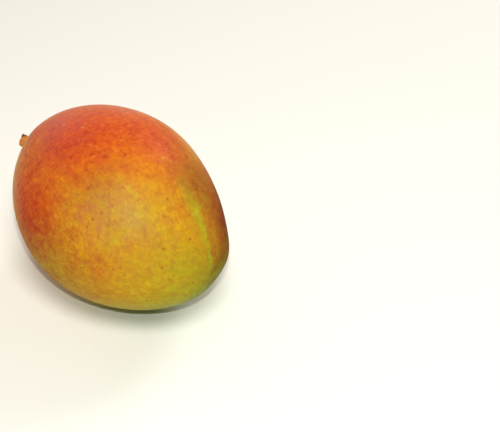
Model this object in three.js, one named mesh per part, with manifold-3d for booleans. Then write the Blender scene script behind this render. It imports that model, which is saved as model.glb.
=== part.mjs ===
// A mango lying on one cheek, in millimetres.
//
// +Z is up, +X runs along the fruit towards its tip, and +Y points to the belly side. The origin is the
// middle of the small flat spot that the fruit rests on, right under its weight.

import * as THREE from "three";
import { mergeVertices } from "three/addons/utils/BufferGeometryUtils.js";
import Module from "manifold-3d";

// The body: an egg shape, a little flattened across the cheeks.
const LENGTH = 126; // stem end to tip
const WIDTH = 96.5; // back to belly
const THICKNESS = 92.5; // cheek to cheek
const SIDE_TAPER = 0.04; // share by which the width grows at the stem end and shrinks at the tip
const CHEEK_TAPER = 0.092; // the same for the thickness
const END_SLIMMING = 0.136; // share by which both ends are finer than an ellipsoid's
const BACK_BULGE = 0.35; // the back is this much fuller than the belly

// Local forms of the skin, each a smooth swelling or hollow. angle and spread are in degrees: angle from
// the tip, turn from the belly towards the upper cheek. height is in millimetres, negative in a hollow.
const BEAK = { angle: 26, turn: 18, height: 2.5, spread: 10.5 };
const SINUS = { angle: 72, turn: 18, height: -1.15, spread: 17 };
const STEM_CAVITY = { angle: 171, turn: 165, height: -2, spread: 13 };

// How the fruit lies, in degrees, and how deep its resting spot is pressed flat.
const TIP_DROP = 9.1;
const BELLY_RISE = 4;
const REST_SPOT_DEPTH = 0.7;

// The broken-off stub of the stalk. Heights are measured from the floor of the stem cavity.
const STUB_HEIGHT = 7.7;
const STUB_SUNK = 3; // how deep its root goes into the fruit
const STUB_ROOT_RADIUS = 3.5;
const STUB_NECK_RADIUS = 2.95;
const STUB_KNOT_RADIUS = 3.2; // the slight knot below the break
const STUB_BREAK_SLOPE = -0.15; // rise of the broken end for each millimetre across
const STUB_LEAN = 0.28; // how far it leans to the back for each millimetre of height
const STUB_GAP = 0.3; // clearance between the stub and its socket

// How finely the surfaces are divided.
const SKIN_AROUND = 80;
const SKIN_ALONG = 50;
const STUB_AROUND = 28;

const FRUIT_COLOUR = "#c9752f";
const STUB_COLOUR = "#8a5c2c";

const X_AXIS = new THREE.Vector3(1, 0, 0);
const Y_AXIS = new THREE.Vector3(0, 1, 0);
const radians = THREE.MathUtils.degToRad;

const wasm = await Module();
wasm.setup();

// ---------------------------------------------------------------- solids

/** The solid inside a closed three.js geometry. */
function solidOf(geometry) {
  const bare = geometry.clone();
  bare.deleteAttribute("normal");
  bare.deleteAttribute("uv");
  const merged = mergeVertices(bare, 1e-5);
  const mesh = new wasm.Mesh({
    numProp: 3,
    vertProperties: new Float32Array(merged.attributes.position.array),
    triVerts: new Uint32Array(merged.index.array),
  });
  return new wasm.Manifold(mesh);
}

/** The three.js geometry of a solid's surface. */
function geometryOf(solid) {
  const mesh = solid.getMesh();
  const geometry = new THREE.BufferGeometry();
  geometry.setAttribute("position", new THREE.BufferAttribute(mesh.vertProperties, 3));
  geometry.setIndex(new THREE.BufferAttribute(mesh.triVerts, 1));
  geometry.computeVertexNormals();
  return geometry;
}

// ---------------------------------------------------------------- the fruit's skin

/** Unit direction at an angle from the tip, turned from the belly towards the upper cheek. */
function directionAt(angle, turn) {
  const fromTip = radians(angle);
  const round = radians(turn);
  return new THREE.Vector3(
    Math.cos(fromTip),
    Math.sin(fromTip) * Math.cos(round),
    Math.sin(fromTip) * Math.sin(round),
  );
}

/** Point of the skin in a direction, in the fruit's own axes: X to the tip, Y to the belly. */
function skinPoint(direction) {
  const { x: along, y: side, z: up } = direction;
  const fullness = 1 - END_SLIMMING * along * along;
  const point = new THREE.Vector3(
    (LENGTH / 2) * along,
    (WIDTH / 2) * side * (fullness - SIDE_TAPER * along) - BACK_BULGE * (1 - along * along),
    (THICKNESS / 2) * up * (fullness - CHEEK_TAPER * along),
  );
  for (const form of [BEAK, SINUS, STEM_CAVITY]) {
    const middle = directionAt(form.angle, form.turn);
    const share = Math.exp((direction.dot(middle) - 1) / radians(form.spread) ** 2);
    point.addScaledVector(middle, form.height * share);
  }
  return point;
}

/** Outward normal of the skin in a direction, from three points close together. */
function skinNormal(direction) {
  const step = 0.01;
  const first = new THREE.Vector3().crossVectors(direction, Y_AXIS).normalize();
  const second = new THREE.Vector3().crossVectors(direction, first);
  const here = skinPoint(direction);
  const beside = skinPoint(direction.clone().addScaledVector(first, step).normalize()).sub(here);
  const above = skinPoint(direction.clone().addScaledVector(second, step).normalize()).sub(here);
  return new THREE.Vector3().crossVectors(beside, above).normalize();
}

/** Turns a vector from the fruit's own axes to the way the fruit lies. */
function lay(vector) {
  return vector.applyAxisAngle(X_AXIS, radians(BELLY_RISE)).applyAxisAngle(Y_AXIS, radians(TIP_DROP));
}

/** Lowest point of the laid fruit, found by ever finer steps round its underside. */
function lowestPoint() {
  let direction = new THREE.Vector3(0, 0, -1);
  let lowest = lay(skinPoint(direction));
  for (let step = 0.1; step > 1e-5; step /= 2) {
    for (const [along, side] of [[step, 0], [-step, 0], [0, step], [0, -step]]) {
      const next = direction.clone().add(new THREE.Vector3(along, side, 0)).normalize();
      const point = lay(skinPoint(next));
      if (point.z < lowest.z) {
        direction = next;
        lowest = point;
      }
    }
  }
  return lowest;
}

const restPoint = lowestPoint();
restPoint.z += REST_SPOT_DEPTH;

/** Point of the skin in a direction, on the fruit as it lies on the ground. */
function laidSkinPoint(direction) {
  return lay(skinPoint(direction)).sub(restPoint);
}

/** Closed skin of the laid fruit, before the stub's socket and the resting spot are cut. */
function skinGeometry() {
  const geometry = new THREE.SphereGeometry(1, SKIN_AROUND, SKIN_ALONG);
  geometry.rotateZ(-Math.PI / 2); // the sphere's poles become the tip and the stem end
  const position = geometry.attributes.position;
  const direction = new THREE.Vector3();
  for (let i = 0; i < position.count; i++) {
    direction.fromBufferAttribute(position, i).normalize();
    const point = laidSkinPoint(direction);
    position.setXYZ(i, point.x, point.y, point.z);
  }
  return geometry;
}

// ---------------------------------------------------------------- the stub of the stalk

/** The stub upright on its own Y axis, made larger all over by a margin. */
function stubGeometry(margin) {
  const profile = [
    [0, -STUB_SUNK - margin],
    [STUB_ROOT_RADIUS * 0.94 + margin, -STUB_SUNK - margin],
    [STUB_ROOT_RADIUS + margin, -STUB_SUNK * 0.2],
    [STUB_ROOT_RADIUS * 0.95 + margin, STUB_HEIGHT * 0.12],
    [STUB_NECK_RADIUS + margin, STUB_HEIGHT * 0.34],
    [STUB_NECK_RADIUS + margin, STUB_HEIGHT * 0.56],
    [STUB_KNOT_RADIUS + margin, STUB_HEIGHT * 0.76],
    [STUB_KNOT_RADIUS * 0.97 + margin, STUB_HEIGHT * 0.93 + margin],
    [STUB_KNOT_RADIUS * 0.8 + margin, STUB_HEIGHT + margin],
    [0, STUB_HEIGHT + margin],
  ].map(([radius, height]) => new THREE.Vector2(radius, height));
  const geometry = new THREE.LatheGeometry(profile, STUB_AROUND);

  // The stalk broke off on a slant.
  const position = geometry.attributes.position;
  const neckHeight = STUB_HEIGHT * 0.56;
  for (let i = 0; i < position.count; i++) {
    const height = position.getY(i);
    const share = THREE.MathUtils.clamp((height - neckHeight) / (STUB_HEIGHT - neckHeight), 0, 1);
    position.setY(i, height + share * STUB_BREAK_SLOPE * position.getX(i));
  }
  return geometry;
}

/** Where the stub stands: its place and turn on the laid fruit. */
function stubPlace() {
  const direction = directionAt(STEM_CAVITY.angle, STEM_CAVITY.turn);
  const axis = skinNormal(direction);
  axis.addScaledVector(Y_AXIS, -STUB_LEAN).normalize();
  const turn = new THREE.Quaternion().setFromUnitVectors(Y_AXIS, lay(axis));
  return { position: laidSkinPoint(direction), turn };
}

// ---------------------------------------------------------------- the pieces

/** The whole fruit: one grown body with a socket for the stub and a flat spot to rest on. */
function buildFruit(place) {
  const socket = stubGeometry(STUB_GAP);
  socket.applyQuaternion(place.turn);
  socket.translate(place.position.x, place.position.y, place.position.z);

  const ground = new THREE.BoxGeometry(LENGTH, WIDTH, THICKNESS / 2);
  ground.translate(0, 0, -THICKNESS / 4);

  const body = solidOf(skinGeometry()).subtract(solidOf(ground)).subtract(solidOf(socket));
  const skin = new THREE.MeshStandardMaterial({ color: FRUIT_COLOUR, roughness: 0.42, metalness: 0 });
  const fruit = new THREE.Mesh(geometryOf(body), skin);
  fruit.name = "fruit";
  return fruit;
}

/** The stub of the stalk, seated in its socket. */
function buildStemStub(place) {
  const bark = new THREE.MeshStandardMaterial({ color: STUB_COLOUR, roughness: 0.85, metalness: 0 });
  const stub = new THREE.Mesh(stubGeometry(0), bark);
  stub.name = "stem_stub";
  stub.position.copy(place.position);
  stub.quaternion.copy(place.turn);
  return stub;
}

const place = stubPlace();
const mango = new THREE.Group();
mango.add(buildFruit(place), buildStemStub(place));

export default mango;
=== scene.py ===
"""A mango lying on one cheek, in metres, in the frame of its solid model.

+Z is up, and the floor is at Z = 0. +X runs along the fruit towards its tip, and +Y points to its
belly. The fruit's own axes, before it is laid down, run X to the tip, Y to the belly and Z to the
upper cheek. A direction on it is an angle from the tip, and a turn from the belly towards the upper
cheek, both in degrees.
"""

import math

import bpy
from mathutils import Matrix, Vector, noise as waver


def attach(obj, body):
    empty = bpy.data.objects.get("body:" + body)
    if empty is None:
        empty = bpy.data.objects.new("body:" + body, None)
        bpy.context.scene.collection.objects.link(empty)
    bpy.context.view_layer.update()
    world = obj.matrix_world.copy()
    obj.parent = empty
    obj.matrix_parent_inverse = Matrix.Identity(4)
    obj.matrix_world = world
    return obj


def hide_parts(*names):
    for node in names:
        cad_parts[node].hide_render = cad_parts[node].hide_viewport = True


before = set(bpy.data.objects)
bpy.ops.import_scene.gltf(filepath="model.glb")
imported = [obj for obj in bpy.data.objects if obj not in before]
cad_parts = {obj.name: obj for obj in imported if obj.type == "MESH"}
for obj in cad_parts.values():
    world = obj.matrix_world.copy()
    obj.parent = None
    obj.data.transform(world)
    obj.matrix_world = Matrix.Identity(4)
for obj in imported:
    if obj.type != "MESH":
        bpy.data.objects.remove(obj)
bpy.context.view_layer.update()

# ---------------------------------------------------------------- the fruit
# One grown body of flesh under a smooth waxy skin, so it is one closed mesh. It is an egg shape with a
# shallow hollow round the stalk at one end and a small beak near the other. It lies on one cheek,
# pressed slightly flat.

FRUIT_SIZES = {
    "Length": 0.126,  # stem end to tip
    "Width": 0.0965,  # back to belly
    "Thickness": 0.0925,  # cheek to cheek
    "Side Taper": 0.04,  # share by which the width grows at the stem end and shrinks at the tip
    "Cheek Taper": 0.092,  # the same for the thickness
    "End Slimming": 0.136,  # share by which both ends are finer than an ellipsoid's
    "Back Bulge": 0.00035,  # the back is this much fuller than the belly
    "Beak Angle": 26.0,
    "Beak Turn": 18.0,
    "Beak Height": 0.0025,
    "Beak Spread": 10.5,
    "Sinus Angle": 72.0,  # the faint hollow of the belly above the beak
    "Sinus Turn": 18.0,
    "Sinus Height": -0.00115,
    "Sinus Spread": 17.0,
    "Stem Cavity Angle": 171.0,
    "Stem Cavity Turn": 165.0,
    "Stem Cavity Height": -0.002,
    "Stem Cavity Spread": 13.0,
    "Shoulder Angle": 141.0,  # the slight swelling between the hollow and the upper cheek
    "Shoulder Turn": 120.0,
    "Shoulder Height": 0.0008,
    "Shoulder Spread": 8.0,
    "Collar Angle": 5.4,  # the low ring of skin round the stalk, measured from the stalk's middle
    "Collar Height": 0.00035,
    "Collar Spread": 1.5,
    "Tip Drop": 9.1,  # how the fruit lies
    "Belly Rise": 4.0,
    "Rest Depth": 0.0007,  # how deep the resting spot is pressed flat
    "Rest Along": -0.000973,  # where the weight bears, in the laid fruit's own axes
    "Rest Across": -0.000662,
    "Unevenness": 0.00022,  # the slight waviness of grown flesh
    "Gather": 0.3,  # how much closer the rows of the mesh stand at the stem end
}
FRUIT_MESH = {"Rows": 190, "Columns": 320, "Seed": 7}


class Wire:
    """A socket of a node tree. Ordinary sums of wires add the nodes that work them out."""

    def __init__(self, tree, socket=None):
        self.tree = tree
        self.socket = socket

    def add(self, kind, values=(), output=0, **settings):
        """Adds a node: first its settings, then a value or a wire for each socket. Gives one output."""
        node = self.tree.nodes.new(kind)
        for name, setting in settings.items():
            if name == "stops":
                self.set_stops(node.color_ramp, setting)
            else:
                setattr(node, name, setting)
        for name, value in dict(values).items():
            if isinstance(value, Wire):
                self.tree.links.new(value.socket, node.inputs[name])
            else:
                node.inputs[name].default_value = value
        return Wire(self.tree, node.outputs[output] if node.outputs else None)

    def set_stops(self, ramp, stops):
        """The stops of a colour ramp, which starts with two."""
        while len(ramp.elements) < len(stops):
            ramp.elements.new(0.5)
        for element, (position, colour) in zip(ramp.elements, stops):
            element.position = position
            element.color = colour

    def is_vector(self):
        """True for a wire that carries a vector or a colour."""
        return isinstance(self, Wire) and self.socket.type in {"VECTOR", "RGBA"}

    def sum(self, operation, *values):
        """Math or Vector Math, whichever the values need."""
        values = (self, *values)
        vectors = [value for value in values if isinstance(value, tuple) or Wire.is_vector(value)]
        if not vectors:
            return self.add("ShaderNodeMath", enumerate(values), operation=operation)
        values = [[value] * 3 if isinstance(value, (int, float)) else value for value in values]
        return self.add("ShaderNodeVectorMath", enumerate(values), operation=operation)

    def __add__(self, other):
        return self.sum("ADD", other)

    def __radd__(self, other):
        return self.sum("ADD", other)

    def __sub__(self, other):
        return self.sum("SUBTRACT", other)

    def __rsub__(self, other):
        return (self * -1.0).sum("ADD", other)

    def __mul__(self, other):
        return self.sum("MULTIPLY", other)

    def __rmul__(self, other):
        return self.sum("MULTIPLY", other)

    def __truediv__(self, other):
        return self.sum("DIVIDE", other)

    def dot(self, other):
        return self.add("ShaderNodeVectorMath", {0: self, 1: other}, 1, operation="DOT_PRODUCT")

    def unit(self):
        return self.add("ShaderNodeVectorMath", {0: self}, operation="NORMALIZE")

    def split(self):
        return [self.add("ShaderNodeSeparateXYZ", {0: self}, axis) for axis in range(3)]

    def joined(self, second, third):
        return self.add("ShaderNodeCombineXYZ", {0: self, 1: second, 2: third})

    def turned(self, axis, degrees):
        """This vector turned about an axis by a wire of degrees."""
        return self.add(
            "ShaderNodeVectorRotate",
            {"Vector": self, "Angle": degrees.sum("RADIANS")},
            rotation_type=axis + "_AXIS",
        )


def lobe_share(way, middle, spread):
    """How near a direction is to a lobe's middle: 1 there, falling smoothly to 0 over a spread in
    radians."""
    return ((way.dot(middle) - 1.0) / (spread * spread)).sum("EXPONENT")


def fruit_shape_tree():
    """The rule of the skin's shape."""
    tree = bpy.data.node_groups.new("mango_shape", "GeometryNodeTree")
    tree.interface.new_socket("Geometry", in_out="OUTPUT", socket_type="NodeSocketGeometry")
    inputs = {}
    for name in FRUIT_SIZES:
        inputs[name] = tree.interface.new_socket(name, in_out="INPUT", socket_type="NodeSocketFloat")
    for name in FRUIT_MESH:
        inputs[name] = tree.interface.new_socket(name, in_out="INPUT", socket_type="NodeSocketInt")
    inputs["Skin"] = tree.interface.new_socket("Skin", in_out="INPUT", socket_type="NodeSocketMaterial")
    entry = tree.nodes.new("NodeGroupInput")
    size = {name: Wire(tree, entry.outputs[name]) for name in inputs}
    start = Wire(tree)

    def heading(form):
        """Unit direction of a form's middle."""
        x_axis = start.add("ShaderNodeCombineXYZ", {0: 1.0})
        lifted = x_axis.turned("Z", size[form + " Angle"])
        return lifted.turned("X", size[form + " Turn"])

    # The mesh starts as a ball whose rows run round the stalk.
    ball = start.add(
        "GeometryNodeMeshUVSphere",
        {"Segments": size["Columns"], "Rings": size["Rows"], "Radius": 1.0},
    )
    stem_way = heading("Stem Cavity")
    place = start.add("GeometryNodeInputPosition")
    place = place.turned("Y", 90.0 - size["Stem Cavity Angle"])
    place = place.turned("X", size["Stem Cavity Turn"] - 90.0)
    way = (place.unit() + stem_way * size["Gather"]).unit()

    along, side, up = way.split()
    fullness = 1.0 - size["End Slimming"] * along * along
    point = (size["Length"] * 0.5 * along).joined(
        size["Width"] * 0.5 * side * (fullness - size["Side Taper"] * along)
        - size["Back Bulge"] * (1.0 - along * along),
        size["Thickness"] * 0.5 * up * (fullness - size["Cheek Taper"] * along),
    )
    for form in ("Beak", "Sinus", "Stem Cavity", "Shoulder"):
        middle = heading(form)
        share = lobe_share(way, middle, size[form + " Spread"].sum("RADIANS"))
        point = point + middle * (size[form + " Height"] * share)
    from_stem = way.dot(stem_way).sum("ARCCOSINE").sum("DEGREES")
    beside_collar = (from_stem - size["Collar Angle"]) / size["Collar Spread"]
    collar = (beside_collar * beside_collar * -1.0).sum("EXPONENT")
    point = point + stem_way * (size["Collar Height"] * collar)
    waves = start.add(
        "ShaderNodeTexNoise",
        {"Vector": way, "W": size["Seed"], "Scale": 2.6, "Detail": 1.5, "Roughness": 0.4},
        noise_dimensions="4D",
    )
    point = point + way * ((waves - 0.5) * size["Unevenness"])

    # It is laid on its cheek, and what would stand under the ground is pressed flat.
    laid = point.turned("X", size["Belly Rise"]).turned("Y", size["Tip Drop"])
    lowest = start.add(
        "GeometryNodeAttributeStatistic", {"Geometry": ball, "Attribute": laid.split()[2]}, "Min"
    )
    rest = size["Rest Along"].joined(size["Rest Across"], lowest + size["Rest Depth"])
    across, over, height = (laid - rest).split()
    rested = across.joined(over, height.sum("MAXIMUM", 0.0))

    named = start.add(
        "GeometryNodeStoreNamedAttribute",
        {"Geometry": ball, "Name": "way", "Value": way},
        data_type="FLOAT_VECTOR",
        domain="POINT",
    )
    shaped = start.add("GeometryNodeSetPosition", {"Geometry": named, "Position": rested})
    smooth = start.add("GeometryNodeSetShadeSmooth", {"Geometry": shaped})
    whole = start.add("GeometryNodeRealizeInstances", {"Geometry": smooth})
    painted = start.add("GeometryNodeSetMaterial", {"Geometry": whole, "Material": size["Skin"]})
    exit_node = tree.nodes.new("NodeGroupOutput")
    tree.links.new(painted.socket, exit_node.inputs[0])
    return tree, inputs


# The ground colour of the skin goes from green over golden to orange as the flesh under it ripens. Over
# it lies a red blush, which lets little green and blue light through. Both fade into one another in
# broad areas, and are broken up by mottling, streaks that run to the tip, and small pores.

GROUND_STOPS = (
    (0.0, (0.200, 0.235, 0.007, 1.0)),
    (0.27, (0.330, 0.300, 0.007, 1.0)),
    (0.54, (0.450, 0.325, 0.007, 1.0)),
    (0.77, (0.560, 0.330, 0.007, 1.0)),
    (1.0, (0.640, 0.335, 0.012, 1.0)),
)
GROUND_RIPEST = 1.3
RIPE_AREAS = (  # strength, angle from the tip, turn from the belly, spread
    (-3.4, 65.0, -50.0, 45.0),  # the green side that hung in the shade
    (-0.6, 95.0, 175.0, 25.0),  # the flank under the upper cheek
    (-0.3, 35.0, 130.0, 20.0),  # the green flush before the tip
    (0.7, 135.0, 115.0, 20.0),  # the ripest shoulder
    (-0.5, 75.0, 120.0, 15.0),  # the greenish haze in the middle of the cheek
    (-0.5, 60.0, 60.0, 10.0),  # the green foot of the streak
    (0.2, 90.0, 65.0, 15.0),  # the golden band beside it
)
BLUSH_AREAS = (  # in the same order of numbers, as are the lists below
    (1.5, 50.0, 15.0, 20.0),  # the belly above the beak, red-brown, and partly painted shade darkening that side
    (1.0, 110.0, 105.0, 20.0),  # the side that faced the sun
    (1.0, 90.0, 65.0, 15.0),  # where its red runs on to the belly
    (0.5, 125.0, 95.0, 20.0),  # its reddest part, on the shoulder
    (1.4, 105.0, 160.0, 13.0),  # the deep red flank
    (-2.5, 50.0, 260.0, 20.0),  # the underside, which is bare of it
    (0.3, 65.0, 65.0, 10.0),  # the browner skin beside the streak
    (-0.2, 65.0, 105.0, 10.0),  # the golden patch low on the cheek
    (0.2, 65.0, 160.0, 10.0),  # the darker foot of the flank
)
BLUSH_DENSITY = (0.09, 1.0, 0.5)  # how strongly it holds back red, green and blue
WAX_AND_SHEEN_AREAS = (  # where a thin veil of pale wax is left, and painted highlight and painted reflection: pale colour along the upper edge and on the middle of the cheek
    (0.08, 130.0, 100.0, 15.0),
    (0.1, 115.0, 55.0, 10.0),
    (0.02, 60.0, 125.0, 30.0),
    (0.04, 70.0, 130.0, 10.0),
)
WAX_AND_SHEEN_COLOUR = (0.75, 0.47, 0.42)
PAINTED_RIM_SHEEN_AREAS = (  # painted reflection: patches along the fruit's edge painted paler, riper and waxier for the pale room's light reflected there
    (0.6, 150.0, 150.0, 10.0),
    (0.6, 135.0, 170.0, 10.0),
    (0.5, 125.0, 180.0, 10.0),
    (0.6, 85.0, 30.0, 10.0),
)
MATT_AREAS = (  # where the skin is duller
    (0.45, 48.0, 15.0, 30.0),
    (0.3, 115.0, 195.0, 32.0),
)
MOTTLED_AREAS = ((1.0, 100.0, 165.0, 25.0),)  # the flank, where the mottling is the strongest
STALK_WAY = (171.0, 165.0)  # angle and turn of the stalk, where the streaks start
STREAK_END_WAY = (5.0, 62.0)  # angle and turn of where they run together
GREEN_STREAK = {"turn": 69.0, "spread": 4.0, "start": 0.3}
# The brown streak is partly painted shade on the darker belly side.
BROWN_STREAK_AND_SHADE = {"turn": 31.0, "spread": 11.0, "start": 0.6}
RAGGED_SCALE = 130.0  # lumps for each metre, which fray the edges of the areas
AREA_RAGGEDNESS = 0.11
STREAK_RAGGEDNESS = 0.06
RUSSET_SPREAD = 5.5  # of the corky skin round the stalk
RUSSET_MOST = 0.9  # share of the ground that it hides at most
RUSSET_COLOUR = (0.26, 0.15, 0.05)
LENTICEL_SHARE = 0.33
LENTICEL_COLOUR = (0.62, 0.42, 0.10)
SKIN_RELIEF = 0.000025
SKIN_ROUGHNESS = 0.38

skin = bpy.data.materials.new("mango_skin")
skin.use_nodes = True
skin.node_tree.nodes.clear()
skin_nodes = Wire(skin.node_tree)


def skin_way(angle, turn):
    """Unit direction at an angle from the tip, turned from the belly towards the upper cheek."""
    from_tip = math.radians(angle)
    round_axis = math.radians(turn)
    return (
        math.cos(from_tip),
        math.sin(from_tip) * math.cos(round_axis),
        math.sin(from_tip) * math.sin(round_axis),
    )


def area_sum(way, areas):
    """The sum of broad, soft-edged areas."""
    total = 0.0
    for strength, angle, turn, spread in areas:
        total = total + strength * lobe_share(way, skin_way(angle, turn), math.radians(spread))
    return total


def noise(place, size, detail=2.0, seed=0.0):
    """Noise of about -1 to 1, with lumps of a size in metres."""
    texture = skin_nodes.add(
        "ShaderNodeTexNoise",
        {"Vector": place, "W": seed, "Scale": 1.0 / size, "Detail": detail, "Roughness": 0.55},
        noise_dimensions="4D",
    )
    return (texture - 0.5) * 4.0


def specks(place, spacing, radius, seed):
    """Round specks of uneven size: 1 in the middle of a speck, 0 between them."""
    cells = {"Vector": place, "W": seed, "Scale": 1.0 / spacing}
    distance = skin_nodes.add("ShaderNodeTexVoronoi", cells, "Distance", voronoi_dimensions="4D")
    return (1.0 - distance * (spacing / radius)).sum("MAXIMUM", 0.0)


def streak_place(way, stem, tip):
    """Where a point lies between two poles. The first two numbers are the cosine and sine of its turn
    round them, and the third goes from one pole to the other."""
    stem, tip = Vector(stem), Vector(tip)
    up = tip.cross(Vector((0.0, 1.0, 0.0))).normalized()
    belly = up.cross(tip)
    near = 1.0 - way.dot(tuple(tip))
    across = way.dot(tuple(belly)) / near - stem.dot(belly) / (1.0 - stem.dot(tip))
    over = way.dot(tuple(up)) / near - stem.dot(up) / (1.0 - stem.dot(tip))
    far = (across * across + over * over).sum("SQRT")
    return across / far, over / far, far.sum("LOGARITHM", math.e)


def streak(turn, spread, start):
    """A streak that runs to the tip along one turn, in degrees. It fades in where the third number of
    streak_place is near start."""
    middle = math.radians(turn)
    beside = streak_across * math.cos(middle) + streak_over * math.sin(middle) - 1.0
    share = (beside / math.radians(spread) ** 2).sum("EXPONENT")
    return share * (streak_along * 2.0 - 2.0 * start).sum("MAXIMUM", 0.0).sum("MINIMUM", 1.0)


skin_direction = skin_nodes.add(
    "ShaderNodeAttribute", output="Vector", attribute_type="GEOMETRY", attribute_name="way"
)
skin_place = skin_nodes.add("ShaderNodeTexCoord", output="Object")
ragged = skin_nodes.add(
    "ShaderNodeTexNoise", {"Vector": skin_place, "Scale": RAGGED_SCALE, "Detail": 2.0}, "Color"
)
area_way = (skin_direction + (ragged - 0.5) * AREA_RAGGEDNESS).unit()
streak_way = (skin_direction + (ragged - 0.5) * STREAK_RAGGEDNESS).unit()

along_axis = skin_direction.split()[0]
mottle_fine = noise(skin_place, size=0.0016, detail=3.0, seed=1.0)
mottle_middle = noise(skin_place, size=0.0034, detail=2.0, seed=5.0)
mottle_broad = noise(skin_place, size=0.012, detail=2.0, seed=2.0)
grain = noise(skin_place, size=0.0018, detail=3.0, seed=9.0)
pore_share = (0.5 + mottle_middle + mottle_broad).sum("MAXIMUM", 0.1)
pores = specks(skin_place, spacing=0.0017, radius=0.0009, seed=3.0) * pore_share
spots = specks(skin_place, spacing=0.006, radius=0.0024, seed=4.0)
dots = specks(skin_place, spacing=0.0042, radius=0.00095, seed=12.0)
streak_across, streak_over, streak_along = streak_place(
    streak_way, skin_way(*STALK_WAY), skin_way(*STREAK_END_WAY)
)
# Noise that is drawn out along the streaks makes rays.
ray_place = (streak_across * 0.02).joined(streak_over * 0.02, streak_along * 0.003)
rays = noise(ray_place, size=0.0016, detail=2.0, seed=6.0)
streaks = rays * (streak_along * 0.6 + 0.3).sum("MAXIMUM", 0.15).sum("MINIMUM", 1.0)
green_streak = streak(**GREEN_STREAK)
brown_streak_and_shade = streak(**BROWN_STREAK_AND_SHADE)

# Painted reflection: these patches lift the ground colour, take away blush and add pale wax colour.
painted_rim_sheen = area_sum(skin_direction, PAINTED_RIM_SHEEN_AREAS)
ripeness = 1.55 - 0.01 * along_axis + area_sum(area_way, RIPE_AREAS) + 0.6 * painted_rim_sheen
ripeness = ripeness + 0.1 * mottle_broad + 0.05 * mottle_middle + 0.08 * mottle_fine + 0.13 * streaks
ripeness = ripeness - 0.16 * green_streak - 0.16 * brown_streak_and_shade
blush = 0.4 - 0.23 * along_axis + area_sum(area_way, BLUSH_AREAS) - painted_rim_sheen
blush_marks = 0.13 * mottle_broad + 0.3 * mottle_middle + 0.25 * mottle_fine + 0.2 * streaks
blush_marks = blush_marks + 0.4 * pores + 0.4 * spots
# A deeper blush is mottled more, most of all on the flank.
flank = area_sum(area_way, MOTTLED_AREAS)
blush = blush + (0.3 + 0.47 * blush + 0.8 * flank).sum("MAXIMUM", 0.25) * blush_marks
blush = (blush - 0.4 * green_streak + 0.28 * brown_streak_and_shade + 0.8 * dots).sum("MAXIMUM", 0.0)

ground = skin_nodes.add(
    "ShaderNodeValToRGB", {"Fac": ripeness / GROUND_RIPEST}, stops=GROUND_STOPS
)
held_back = [(blush * -density).sum("EXPONENT") for density in BLUSH_DENSITY]
shade = 0.13 * grain + 0.07 * mottle_fine + 0.11 * mottle_middle + 0.07 * streaks
shade = shade + 0.15 * pores + 0.12 * spots + 0.3 * dots
let_through = held_back[0].joined(held_back[1], held_back[2])
flesh_colour = ground * let_through * (shade * -1.0).sum("EXPONENT")

# Corky russet skin rings the stalk, with fine marks that run out from it.
russet = lobe_share(skin_direction, skin_way(*STALK_WAY), math.radians(RUSSET_SPREAD))
russet = (russet * (0.8 + 0.35 * rays)).sum("MAXIMUM", 0.0).sum("MINIMUM", RUSSET_MOST)
ringed_colour = skin_nodes.add(
    "ShaderNodeMix",
    {0: russet, 6: flesh_colour, 7: (*RUSSET_COLOUR, 1.0)},
    2,
    data_type="RGBA",
)

# A pale bloom of wax, partly painted highlight and painted reflection, and small pale pores that stand a
# little proud.
wax_and_sheen = (area_sum(area_way, WAX_AND_SHEEN_AREAS) + 0.25 * painted_rim_sheen) * (1.0 + 0.8 * mottle_middle)
waxed_and_sheened_colour = skin_nodes.add(
    "ShaderNodeMix",
    {0: wax_and_sheen.sum("MAXIMUM", 0.0), 6: ringed_colour, 7: (*WAX_AND_SHEEN_COLOUR, 1.0)},
    2,
    data_type="RGBA",
)
lenticels = specks(skin_place, spacing=0.0055, radius=0.0013, seed=8.0)
skin_colour = skin_nodes.add(
    "ShaderNodeMix",
    {0: LENTICEL_SHARE * lenticels, 6: waxed_and_sheened_colour, 7: (*LENTICEL_COLOUR, 1.0)},
    2,
    data_type="RGBA",
)
skin_height = mottle_fine + 0.6 * mottle_middle + 0.8 * lenticels
skin_bump = skin_nodes.add(
    "ShaderNodeBump",
    {"Strength": 1.0, "Distance": SKIN_RELIEF, "Height": skin_height},
)
skin_shader = skin_nodes.add(
    "ShaderNodeBsdfPrincipled",
    {
        "Base Color": skin_colour,
        "Roughness": SKIN_ROUGHNESS + 0.06 * mottle_middle + area_sum(skin_direction, MATT_AREAS),
        "Specular IOR Level": 0.08,
        "Normal": skin_bump,
    },
)
skin_nodes.add("ShaderNodeOutputMaterial", {"Surface": skin_shader})

shape_tree, shape_inputs = fruit_shape_tree()
fruit = bpy.data.objects.new("mango_fruit", bpy.data.meshes.new("mango_fruit"))
bpy.context.scene.collection.objects.link(fruit)
shaping = fruit.modifiers.new("shape", "NODES")
shaping.node_group = shape_tree
for name, value in {**FRUIT_SIZES, **FRUIT_MESH, "Skin": skin}.items():
    shaping[shape_inputs[name].identifier] = value
ready = fruit.evaluated_get(bpy.context.evaluated_depsgraph_get())
fruit_mesh = bpy.data.meshes.new_from_object(ready)
fruit_mesh.materials.pop(index=0)  # the empty slot that the ball starts with
fruit.modifiers.clear()
fruit.data = fruit_mesh
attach(fruit, "root")
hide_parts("fruit")

# ---------------------------------------------------------------- the stub of the stalk
# The last few millimetres of the woody stalk, which broke off on a slant and shows dark torn wood at its
# end. It grows out of the floor of the hollow, with its root sunk into the fruit.

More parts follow.
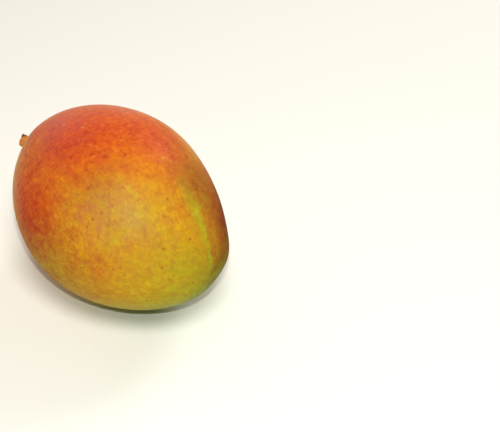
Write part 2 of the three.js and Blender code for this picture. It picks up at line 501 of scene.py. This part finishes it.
STUB_PLACE = Vector((-0.058317, -0.005760, 0.056072))
STUB_AXIS = Vector((-0.87646, -0.45481, 0.15801))
STUB_PROFILE = (  # height over the floor of the hollow, and radius
    (-0.0030, 0.0033),
    (-0.0006, 0.0035),
    (0.0009, 0.0033),
    (0.0026, 0.0030),
    (0.0043, 0.0029),
    (0.0057, 0.0032),
    (0.0069, 0.0032),
    (0.0075, 0.0029),
)
STUB_NECK = 0.0043  # the slant of the break begins to show here
STUB_END = 0.0075
STUB_SLANT = -0.15  # rise of the broken end for each metre across
STUB_CORNER = 0.0011  # how far one torn corner stands up
STUB_CORNER_WAY = (0.846, 0.534)  # where that corner is, across and over the stub's own axis
STUB_LIP = 0.00025  # how far the rim of the broken end stands up
STUB_DISH = 0.0005  # how deep its middle is
STUB_TORN = 0.00022  # roughness of the broken end
STUB_SPLIT = 0.00016  # unevenness of its rim
STUB_COLUMNS = 96
STUB_ROWS = 56
STUB_ROOT_SHARES = (0.4, 0.8)  # rings of the root's underside, as shares of its radius
STUB_BREAK_ROWS = 14
BARK_STOPS = (
    (0.30, (0.110, 0.040, 0.010, 1.0)),
    (0.44, (0.260, 0.120, 0.010, 1.0)),
    (0.56, (0.500, 0.160, 0.013, 1.0)),
    (0.72, (0.600, 0.230, 0.035, 1.0)),
)
TORN_STOPS = (
    (0.35, (0.050, 0.012, 0.004, 1.0)),
    (0.65, (0.190, 0.055, 0.015, 1.0)),
)


def eased(points, where):
    """A smooth curve through rising pairs of numbers."""
    for (low, before), (high, after) in zip(points, points[1:]):
        if where <= high:
            share = max(0.0, (where - low) / (high - low))
            return before + (after - before) * share * share * (3.0 - 2.0 * share)
    return points[-1][1]


def stub_point(turn, height, radius, broken):
    """A point of the stub on its own axes, with Y up. Broken is 0 on the bark and 1 on the torn end."""
    x_way, z_way = math.cos(turn), math.sin(turn)
    ridges = 0.026 * math.cos(6.0 * turn + 0.8) + 0.018 * math.cos(11.0 * turn + 2.1)
    around = Vector((1.4 * x_way, 1.4 * z_way, 180.0 * height))
    radius *= 1.0 + (ridges + 0.09 * waver.noise(around)) * (1.0 - broken)
    slant = min(1.0, max(0.0, (height - STUB_NECK) / (STUB_END - STUB_NECK)))
    torn = waver.noise(Vector((1700.0 * radius * x_way, 1700.0 * radius * z_way, 3.0)))
    fibres = waver.noise(Vector((7.0 * x_way, 7.0 * z_way, 9.0)))
    to_corner = radius * (x_way * STUB_CORNER_WAY[0] + z_way * STUB_CORNER_WAY[1])
    corner = max(0.0, to_corner - 0.001) / 0.002
    radius *= 1.0 + 0.08 * slant * corner
    height += slant * (STUB_SLANT * radius * x_way + STUB_CORNER * corner + STUB_SPLIT * fibres)
    height += broken * STUB_TORN * torn
    return Vector((radius * x_way, height, radius * z_way))


stub_rings = []  # height, radius and broken of each ring, from the root to the middle of the break
root_height, root_radius = STUB_PROFILE[0]
for share in STUB_ROOT_SHARES:
    stub_rings.append((root_height, root_radius * share, 0.0))
for row in range(STUB_ROWS + 1):
    height = root_height + (STUB_END - root_height) * row / STUB_ROWS
    stub_rings.append((height, eased(STUB_PROFILE, height), 0.0))
rim_radius = STUB_PROFILE[-1][1]
for row in range(1, STUB_BREAK_ROWS):
    share = row / STUB_BREAK_ROWS
    dish = STUB_LIP * math.sin(math.pi * min(1.0, 4.0 * share)) - STUB_DISH * share**3
    stub_rings.append((STUB_END + dish, rim_radius * (1.0 - share), min(1.0, 5.0 * share)))

stub_turn = Vector((0.0, 1.0, 0.0)).rotation_difference(STUB_AXIS)
own_points = [Vector((0.0, root_height, 0.0))]
for height, radius, broken in stub_rings:
    for column in range(STUB_COLUMNS):
        own_points.append(stub_point(math.tau * column / STUB_COLUMNS, height, radius, broken))
own_points.append(Vector((0.0, STUB_END - STUB_DISH, 0.0)))
stub_faces = []
for column in range(STUB_COLUMNS):
    beside = (column + 1) % STUB_COLUMNS
    stub_faces.append((0, 1 + column, 1 + beside))
    for ring in range(len(stub_rings) - 1):
        low = 1 + ring * STUB_COLUMNS
        high = low + STUB_COLUMNS
        stub_faces.append((low + beside, low + column, high + column, high + beside))
    top = 1 + (len(stub_rings) - 1) * STUB_COLUMNS
    stub_faces.append((top + beside, top + column, len(own_points) - 1))
stub_mesh = bpy.data.meshes.new("mango_stub")
stub_mesh.from_pydata([STUB_PLACE + stub_turn @ point for point in own_points], [], stub_faces)
stub_mesh.shade_smooth()
own_place = stub_mesh.attributes.new("own_place", "FLOAT_VECTOR", "POINT")
for item, point in zip(own_place.data, own_points):
    item.vector = point
broken_share = stub_mesh.attributes.new("broken", "FLOAT", "POINT")
for ring, (height, radius, broken) in enumerate(stub_rings):
    for column in range(STUB_COLUMNS):
        broken_share.data[1 + ring * STUB_COLUMNS + column].value = broken
broken_share.data[len(own_points) - 1].value = 1.0

bark = bpy.data.materials.new("mango_bark")
bark.use_nodes = True
bark.node_tree.nodes.clear()
bark_nodes = Wire(bark.node_tree)
bark_place = bark_nodes.add(
    "ShaderNodeAttribute", output="Vector", attribute_type="GEOMETRY", attribute_name="own_place"
)
break_share = bark_nodes.add(
    "ShaderNodeAttribute", output="Fac", attribute_type="GEOMETRY", attribute_name="broken"
)
bark_across, bark_height, bark_over = bark_place.split()
fibre_place = bark_across.joined(bark_height * 0.22, bark_over)
fibres = bark_nodes.add(
    "ShaderNodeTexNoise", {"Vector": fibre_place, "Scale": 1500.0, "Detail": 3.0, "Roughness": 0.6}
)
blotches = bark_nodes.add(
    "ShaderNodeTexNoise", {"Vector": bark_place, "Scale": 420.0, "Detail": 2.0, "Roughness": 0.5}
)
bark_colour = bark_nodes.add(
    "ShaderNodeValToRGB",
    {"Fac": 0.5 * fibres + 0.5 * blotches + 0.2 * (bark_height * 120.0 - 0.4)},
    stops=BARK_STOPS,
)
torn_colour = bark_nodes.add("ShaderNodeValToRGB", {"Fac": fibres}, stops=TORN_STOPS)
# The bark is darkest at the torn corner and on the broken end.
to_corner = bark_across * STUB_CORNER_WAY[0] + bark_over * STUB_CORNER_WAY[1]
corner_share = (0.5 * bark_height + to_corner - 0.0053) * 1600.0 + 1.6 * blotches - 0.8
dark_share = (corner_share.sum("MAXIMUM", 0.0) + 2.0 * break_share).sum("MINIMUM", 1.0)
stub_colour = bark_nodes.add(
    "ShaderNodeMix",
    {0: dark_share, 6: bark_colour, 7: torn_colour},
    2,
    data_type="RGBA",
)
bark_bump = bark_nodes.add(
    "ShaderNodeBump", {"Strength": 0.7, "Distance": 0.0003, "Height": fibres + 0.5 * blotches}
)
bark_shader = bark_nodes.add(
    "ShaderNodeBsdfPrincipled",
    {
        "Base Color": stub_colour,
        "Roughness": 0.72 + 0.15 * dark_share,
        "Specular IOR Level": 0.3,
        "Normal": bark_bump,
    },
)
bark_nodes.add("ShaderNodeOutputMaterial", {"Surface": bark_shader})
stub_mesh.materials.append(bark)

stub = bpy.data.objects.new("mango_stub", stub_mesh)
bpy.context.scene.collection.objects.link(stub)
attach(stub, "root")
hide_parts("stem_stub")

# ---------------------------------------------------------------- the floor, the lights and the camera
# The fruit stands alone on a wide sheet of pale matt paper, in a pale room. Two large soft lamps hang
# over it, and a small weak one is fixed to the camera.

FLOOR_REACH = 4
PAPER_COLOUR = (0.86, 0.835, 0.77)
ROOM_COLOUR = (1.0, 0.93, 0.82)
ROOM_STRENGTH = 0.11
BACK_WALL = (80.0, 0.0)  # degrees from straight above, and round from the camera's far side
BACK_WALL_SPREAD = 25.0
BACK_WALL_STRENGTH = 0.85
LEFT_WALL = (78.0, -46.0)
LEFT_WALL_SPREAD = 24.0
LEFT_WALL_STRENGTH = 1.05
CAMERA_AZIMUTH = 46.0
CAMERA_PLACE = Vector((0.43230, -0.32616, 0.49134))  # 0.7 m off, 40 degrees above the fruit
CAMERA_LOOK = Vector((-0.5510, 0.5321, -0.6428))
CAMERA_LENS = 100.8  # millimetres
CAMERA_SENSOR = 36.0
FRUIT_MIDDLE = Vector((0.0, 0.0, 0.046))
LAMP_DISTANCE = 1.6
CAMERA_LAMP_RISE = 0.061  # over the lens
WHITE = (1.0, 1.0, 1.0)

floor_mesh = bpy.data.meshes.new("floor")
floor_corners = [(-1, -1), (1, -1), (1, 1), (-1, 1)]
floor_mesh.from_pydata(
    [(FLOOR_REACH * across, FLOOR_REACH * over, 0) for across, over in floor_corners],
    [],
    [(0, 1, 2, 3)],
)
floor = bpy.data.objects.new("floor", floor_mesh)
bpy.context.scene.collection.objects.link(floor)
paper = bpy.data.materials.new("floor_paper")
paper.use_nodes = True
paper.node_tree.nodes.clear()
paper_nodes = Wire(paper.node_tree)
paper_shader = paper_nodes.add(
    "ShaderNodeBsdfPrincipled",
    {"Base Color": (*PAPER_COLOUR, 1.0), "Roughness": 0.9, "Specular IOR Level": 0.2},
)
paper_nodes.add("ShaderNodeOutputMaterial", {"Surface": paper_shader})
floor_mesh.materials.append(paper)


def way_from_back(from_zenith, round_from_back):
    """Unit direction by degrees down from straight above, and round from the camera's far side."""
    turn = math.radians(CAMERA_AZIMUTH - round_from_back + 90.0)
    tilt = math.radians(from_zenith)
    return Vector(
        (math.cos(turn) * math.sin(tilt), math.sin(turn) * math.sin(tilt), math.cos(tilt))
    )


def round_lamp(name, place, size, power, colour):
    """A round soft lamp aimed at the fruit."""
    lamp = bpy.data.lights.new(name, "AREA")
    lamp.shape = "DISK"
    lamp.size = size
    lamp.energy = power
    lamp.color = colour
    stand = bpy.data.objects.new(name, lamp)
    stand.location = place
    stand.rotation_euler = (FRUIT_MIDDLE - place).to_track_quat("-Z", "Y").to_euler()
    stand.visible_camera = False
    bpy.context.scene.collection.objects.link(stand)


# Pale walls stand all round. The brightest are behind the fruit, and behind it on the left.
world = bpy.data.worlds.new("surround")
bpy.context.scene.world = world
world.use_nodes = True
world.node_tree.nodes.clear()
room = Wire(world.node_tree)
room_way = room.add("ShaderNodeTexCoord", output="Generated")
back_wall = lobe_share(room_way, way_from_back(*BACK_WALL), math.radians(BACK_WALL_SPREAD))
left_wall = lobe_share(room_way, way_from_back(*LEFT_WALL), math.radians(LEFT_WALL_SPREAD))
room_strength = ROOM_STRENGTH + BACK_WALL_STRENGTH * back_wall + LEFT_WALL_STRENGTH * left_wall
room_light = room.add(
    "ShaderNodeBackground", {"Color": (*ROOM_COLOUR, 1.0), "Strength": room_strength}
)
room.add("ShaderNodeOutputWorld", {"Surface": room_light})

camera_data = bpy.data.cameras.new("camera")
camera_data.lens = CAMERA_LENS
camera_data.sensor_width = CAMERA_SENSOR
camera = bpy.data.objects.new("camera", camera_data)
camera.location = CAMERA_PLACE
camera.rotation_euler = CAMERA_LOOK.to_track_quat("-Z", "Y").to_euler()
bpy.context.scene.collection.objects.link(camera)
bpy.context.scene.camera = camera

ceiling_lamp_place = FRUIT_MIDDLE + LAMP_DISTANCE * way_from_back(28.0, 165.0)
round_lamp("ceiling_lamp", ceiling_lamp_place, size=0.6, power=16.0, colour=WHITE)
side_lamp_place = FRUIT_MIDDLE + LAMP_DISTANCE * way_from_back(58.0, 42.0)
round_lamp("side_lamp", side_lamp_place, size=0.8, power=10.5, colour=WHITE)
camera_up = camera.rotation_euler.to_matrix() @ Vector((0.0, 1.0, 0.0))
camera_lamp_place = CAMERA_PLACE + CAMERA_LAMP_RISE * camera_up
round_lamp("camera_lamp", camera_lamp_place, size=0.02, power=2.0, colour=(0.93, 1.0, 0.95))

bpy.context.scene.view_settings.view_transform = "Standard"
